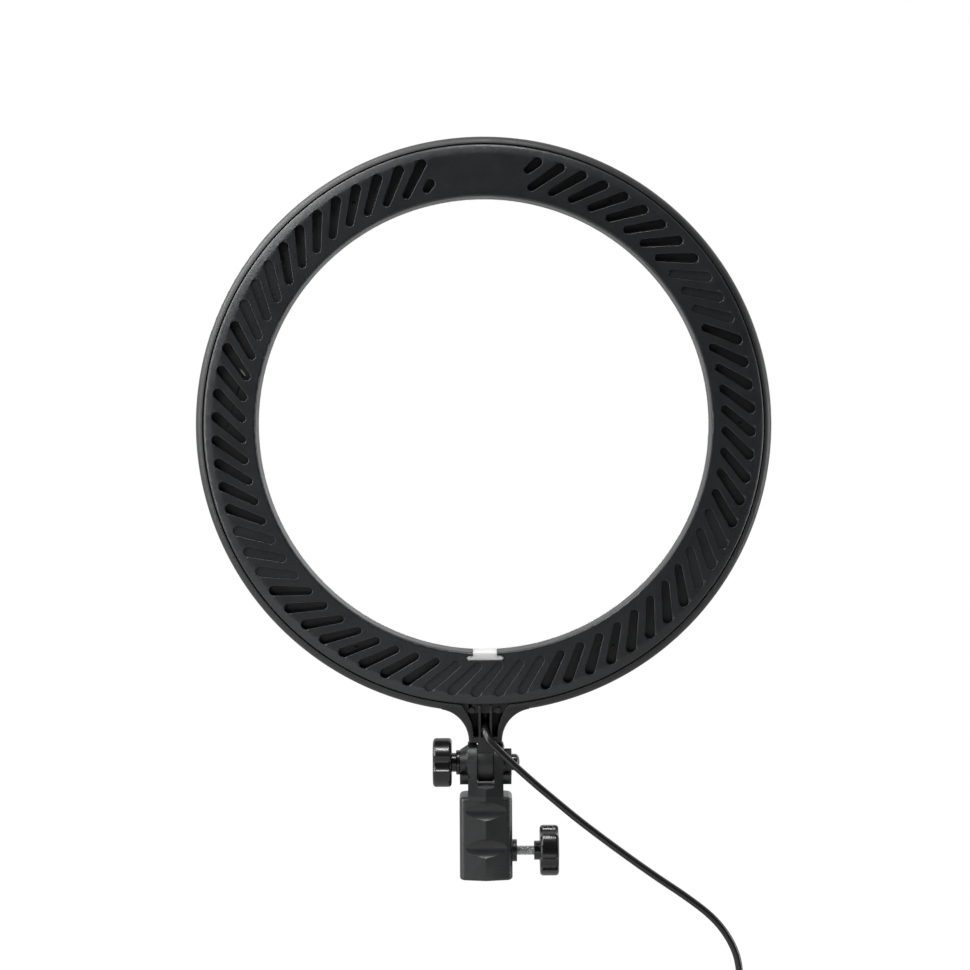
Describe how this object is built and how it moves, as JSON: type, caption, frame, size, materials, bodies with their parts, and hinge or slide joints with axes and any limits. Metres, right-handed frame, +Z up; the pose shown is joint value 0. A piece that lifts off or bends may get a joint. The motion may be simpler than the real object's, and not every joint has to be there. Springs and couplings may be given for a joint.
{
  "type": "led ring light",
  "caption": "LED ring light seen from its vented back, on a tilting clamp bracket with a stud socket, with a cord, in-line controller, coiled cord and power plug.",
  "frame": {"origin": "centre of the stud socket's mouth, at the bracket's bottom", "axes": "+Z up along the stud socket to the ring, +Y the way the light shines, +X to the right when seen from the vented back"},
  "size_m": [0.3375, 0.0357, 0.6251],
  "materials": {
    "ring_black": "moulded, fine matt grain",
    "bracket_black": "moulded glass-filled nylon, satin",
    "knob_black": "moulded, half gloss",
    "diffuser_white": "translucent opal, satin",
    "board_white": "white solder mask",
    "led_cool": "phosphor in a white housing",
    "led_warm": "phosphor in a white housing",
    "resistor_black": "ceramic with a printed film",
    "zinc_steel": "bright zinc plated",
    "dark_steel": "black oxide",
    "brass": "turned",
    "washer_fibre": "black fibre sheet",
    "cord_black": "satin PVC jacket",
    "relief_black": "moulded flexible PVC",
    "wire_mixed": "thin PVC insulation",
    "connector_white": "moulded nylon",
    "case_black": "moulded, half gloss",
    "button_grey": "moulded silicone",
    "board_green": "green solder mask",
    "switch_black": "moulded",
    "tie_fabric": "woven loop strap",
    "plug_black": "moulded, half gloss",
    "blade_nickel": "nickel-plated brass"
  },
  "bodies": {
    "bracket": {"stud_bracket": "bracket_black", "lock_insert": "brass", "tilt_nut": "bracket_black", "nut_cap": "knob_black", "bolt_flange": "knob_black", "friction_washers": "washer_fibre", "cord_drop": "cord_black", "upper_strain_relief": "relief_black", "controller_back_case": "case_black", "controller_front_case": "case_black", "controller_board": "board_green", "tact_switches": "switch_black", "lower_strain_relief": "relief_black", "cord_link": "cord_black", "cord_coil": "cord_black", "coil_tie": "tie_fabric", "cord_tail": "cord_black", "plug_strain_relief": "relief_black", "plug_grip": "plug_black", "plug_face": "plug_black", "plug_blades": "blade_nickel"},
    "ring_head": {"ring_housing": "ring_black", "rear_cover": "ring_black", "diffuser": "diffuser_white", "led_board": "board_white", "cool_leds": "led_cool", "warm_leds": "led_warm", "current_resistors": "resistor_black", "case_screws": "zinc_steel", "board_screws": "zinc_steel", "cord_grommet": "relief_black", "inner_lead": "cord_black", "inner_wires": "wire_mixed", "board_connector": "connector_white", "cord_at_neck": "cord_black"},
    "clamp_bolt": {"tilt_bolt": "dark_steel"},
    "tilt_knob": {"tilt_knob": "knob_black"},
    "clamp_screw": {"lock_screw": "zinc_steel"},
    "lock_knob": {"lock_knob": "knob_black"},
    "power_button": {"power_button": "button_grey"},
    "brighter_button": {"brighter_button": "button_grey"},
    "dimmer_button": {"dimmer_button": "button_grey"},
    "colour_button": {"colour_button": "button_grey"}
  },
  "joints": [
    {"name": "head_tilt", "type": "hinge", "parent": "bracket", "child": "ring_head", "pos_m": [0, 0, 0.0596], "axis": [1, 0, 0], "range_deg": [-90, 90], "deforming": ["cord_at_neck"]},
    {"name": "tilt_bolt_travel", "type": "slide", "parent": "bracket", "child": "clamp_bolt", "axis": [-1, 0, 0], "range_m": [0, 0.00121]},
    {"name": "tilt_knob_turn", "type": "hinge", "parent": "clamp_bolt", "child": "tilt_knob", "pos_m": [-0.0227, 0, 0.0596], "axis": [-1, 0, 0], "range_deg": [0, 540]},
    {"name": "lock_screw_travel", "type": "slide", "parent": "bracket", "child": "clamp_screw", "axis": [1, 0, 0], "range_m": [-0.00881, 0.00161]},
    {"name": "lock_knob_turn", "type": "hinge", "parent": "clamp_screw", "child": "lock_knob", "pos_m": [0.033, 0, 0.0134], "axis": [1, 0, 0], "range_deg": [-3960, 720]},
    {"name": "power_button_press", "type": "slide", "parent": "bracket", "child": "power_button", "axis": [0, 1, 0], "range_m": [0, 0.0004], "stiffness_N_per_m": 600, "springref_m": -0.0003},
    {"name": "brighter_button_press", "type": "slide", "parent": "bracket", "child": "brighter_button", "axis": [0, 1, 0], "range_m": [0, 0.0004], "stiffness_N_per_m": 600, "springref_m": -0.0003},
    {"name": "dimmer_button_press", "type": "slide", "parent": "bracket", "child": "dimmer_button", "axis": [0, 1, 0], "range_m": [0, 0.0004], "stiffness_N_per_m": 600, "springref_m": -0.0003},
    {"name": "colour_button_press", "type": "slide", "parent": "bracket", "child": "colour_button", "axis": [0, 1, 0], "range_m": [0, 0.0004], "stiffness_N_per_m": 600, "springref_m": -0.0003}
  ],
  "couplings": [
    {"joint": "tilt_bolt_travel", "follows": "tilt_knob_turn", "m_per_rad": 0.00012732},
    {"joint": "lock_screw_travel", "follows": "lock_knob_turn", "m_per_rad": 0.00012732}
  ]
}
